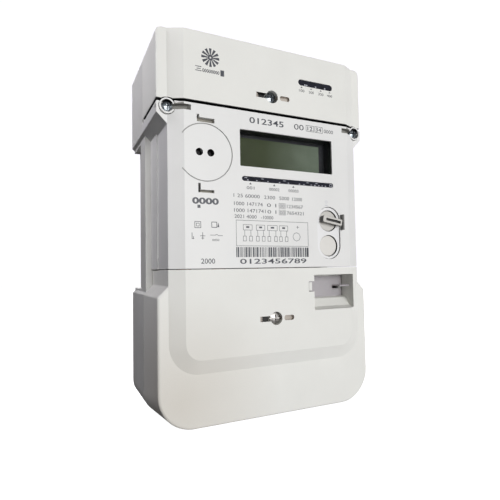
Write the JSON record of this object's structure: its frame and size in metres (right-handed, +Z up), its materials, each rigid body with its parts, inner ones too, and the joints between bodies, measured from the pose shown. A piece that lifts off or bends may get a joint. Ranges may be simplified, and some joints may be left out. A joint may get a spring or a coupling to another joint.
{
  "type": "prepaid electricity meter",
  "caption": "Wall-mounted electronic energy meter with display, lamp strip, optical port, sealable knob and push button, plug-in module bay and lift-off terminal cover with a shuttered port.",
  "frame": {"origin": "middle of the flat back, on the wall plane", "axes": "+X to the right as seen from the front, +Y back into the wall, +Z up along the height"},
  "size_m": [0.135, 0.082, 0.215],
  "materials": {
    "cover_plastic": "fine matt moulded ABS, warm off-white",
    "main_plastic": "satin polycarbonate, cool white",
    "knob_plastic": "satin grey plastic",
    "button_plastic": "satin warm grey plastic",
    "shutter_plastic": "satin light grey plastic",
    "black_plastic": "fine matt black plastic",
    "grey_plastic": "matt glass-filled plastic",
    "white_plastic": "plain white plastic",
    "tinted_lens": "dark tinted polycarbonate",
    "clear_window": "clear acrylic",
    "display_glass": "grey-green liquid crystal cell",
    "lamp_resin": "tinted epoxy",
    "diode_resin": "dark infrared epoxy",
    "zinc_steel": "zinc-plated steel",
    "nickel_pins": "tinned wire",
    "brass": "machined brass",
    "copper": "bare copper strip",
    "manganin": "manganin resistance strip",
    "circuit_board": "solder resist on glass epoxy",
    "winding": "taped winding",
    "blue_disc": "epoxy coating",
    "can": "sleeved aluminium can",
    "cell": "sleeved lithium cell",
    "gasket_rubber": "soft silicone"
  },
  "bodies": {
    "meter": {"antenna": "nickel_pins", "backup_battery": "cell", "battery_clip": "black_plastic", "board_pillars": "brass", "board_screws": "zinc_steel", "capacitors": "can", "control_bezel": "main_plastic", "control_chips": "black_plastic", "cover_gasket": "gasket_rubber", "cover_switch": "black_plastic", "current_shunt": "manganin", "current_transformer": "winding", "disconnect_relay": "black_plastic", "display_board": "circuit_board", "display_shroud": "black_plastic", "display_window": "clear_window", "indicator_lamps": "lamp_resin", "indicator_lens": "tinted_lens", "knob_switch": "black_plastic", "lcd_backlight": "white_plastic", "lcd_glass": "display_glass", "lcd_pins": "nickel_pins", "live_in_bar": "copper", "live_out_bar": "copper", "main_board": "circuit_board", "main_cover": "main_plastic", "module_board": "circuit_board", "module_case": "grey_plastic", "module_lid": "grey_plastic", "module_plug": "black_plastic", "module_socket": "black_plastic", "neutral_bar": "copper", "port_diodes": "diode_resin", "port_ring": "zinc_steel", "power_transformer": "winding", "radio_chip": "black_plastic", "rear_base": "cover_plastic", "scroll_spring": "zinc_steel", "scroll_switch": "black_plastic", "seal_lug": "main_plastic", "service_socket": "black_plastic", "status_lamps": "lamp_resin", "terminal_block": "grey_plastic", "terminal_clamps": "brass", "terminal_screws": "zinc_steel", "threaded_inserts": "brass", "varistor": "blue_disc"},
    "top_cover": {"module_cover": "cover_plastic", "status_lens": "tinted_lens"},
    "terminal_lid": {"terminal_cover": "cover_plastic"},
    "top_screw": {"module_cover_screw": "zinc_steel"},
    "terminal_screw": {"terminal_cover_screw": "zinc_steel"},
    "left_screw": {"ear_screw_left": "zinc_steel"},
    "right_screw": {"ear_screw_right": "zinc_steel"},
    "shutter": {"port_shutter": "shutter_plastic"},
    "hanger": {"hanger_plate": "zinc_steel"},
    "scroll": {"scroll_button": "button_plastic"},
    "knob": {"seal_knob": "knob_plastic"},
    "plunger": {"switch_plunger": "white_plastic"}
  },
  "joints": [
    {"name": "top_cover_off", "type": "slide", "parent": "meter", "child": "top_cover", "axis": [0, -1, 0], "range_m": [0, 0.05]},
    {"name": "terminal_lid_off", "type": "slide", "parent": "meter", "child": "terminal_lid", "axis": [0, -1, 0], "range_m": [0, 0.05]},
    {"name": "top_screw_turn", "type": "hinge", "parent": "top_cover", "child": "top_screw", "pos_m": [0, -0.0778, 0.0777], "axis": [0, 1, 0], "continuous": true},
    {"name": "terminal_screw_turn", "type": "hinge", "parent": "terminal_lid", "child": "terminal_screw", "pos_m": [0, -0.0778, -0.0517], "axis": [0, 1, 0], "continuous": true},
    {"name": "left_screw_turn", "type": "hinge", "parent": "meter", "child": "left_screw", "pos_m": [-0.0618, -0.076, 0.0642], "axis": [0, 1, 0], "continuous": true},
    {"name": "right_screw_turn", "type": "hinge", "parent": "meter", "child": "right_screw", "pos_m": [0.0618, -0.076, 0.0642], "axis": [0, 1, 0], "continuous": true},
    {"name": "shutter_slide", "type": "slide", "parent": "terminal_lid", "child": "shutter", "axis": [-1, 0, 0], "range_m": [0, 0.015]},
    {"name": "hanger_slide", "type": "slide", "parent": "meter", "child": "hanger", "axis": [0, 0, 1], "range_m": [0, 0.022]},
    {"name": "scroll_press", "type": "slide", "parent": "meter", "child": "scroll", "axis": [0, 1, 0], "range_m": [0, 0.0012], "stiffness_N_per_m": 600, "springref_m": -0.0006, "deforming": ["scroll_spring"]},
    {"name": "knob_turn", "type": "hinge", "parent": "meter", "child": "knob", "pos_m": [0.038, -0.079, 0.0058], "axis": [0, 1, 0], "range_deg": [-10, 80]},
    {"name": "plunger_rise", "type": "slide", "parent": "meter", "child": "plunger", "axis": [0, -1, 0], "range_m": [0, 0.0015]}
  ],
  "couplings": [
    {"joint": "plunger_rise", "follows": "terminal_lid_off", "ratio": 0.03}
  ]
}
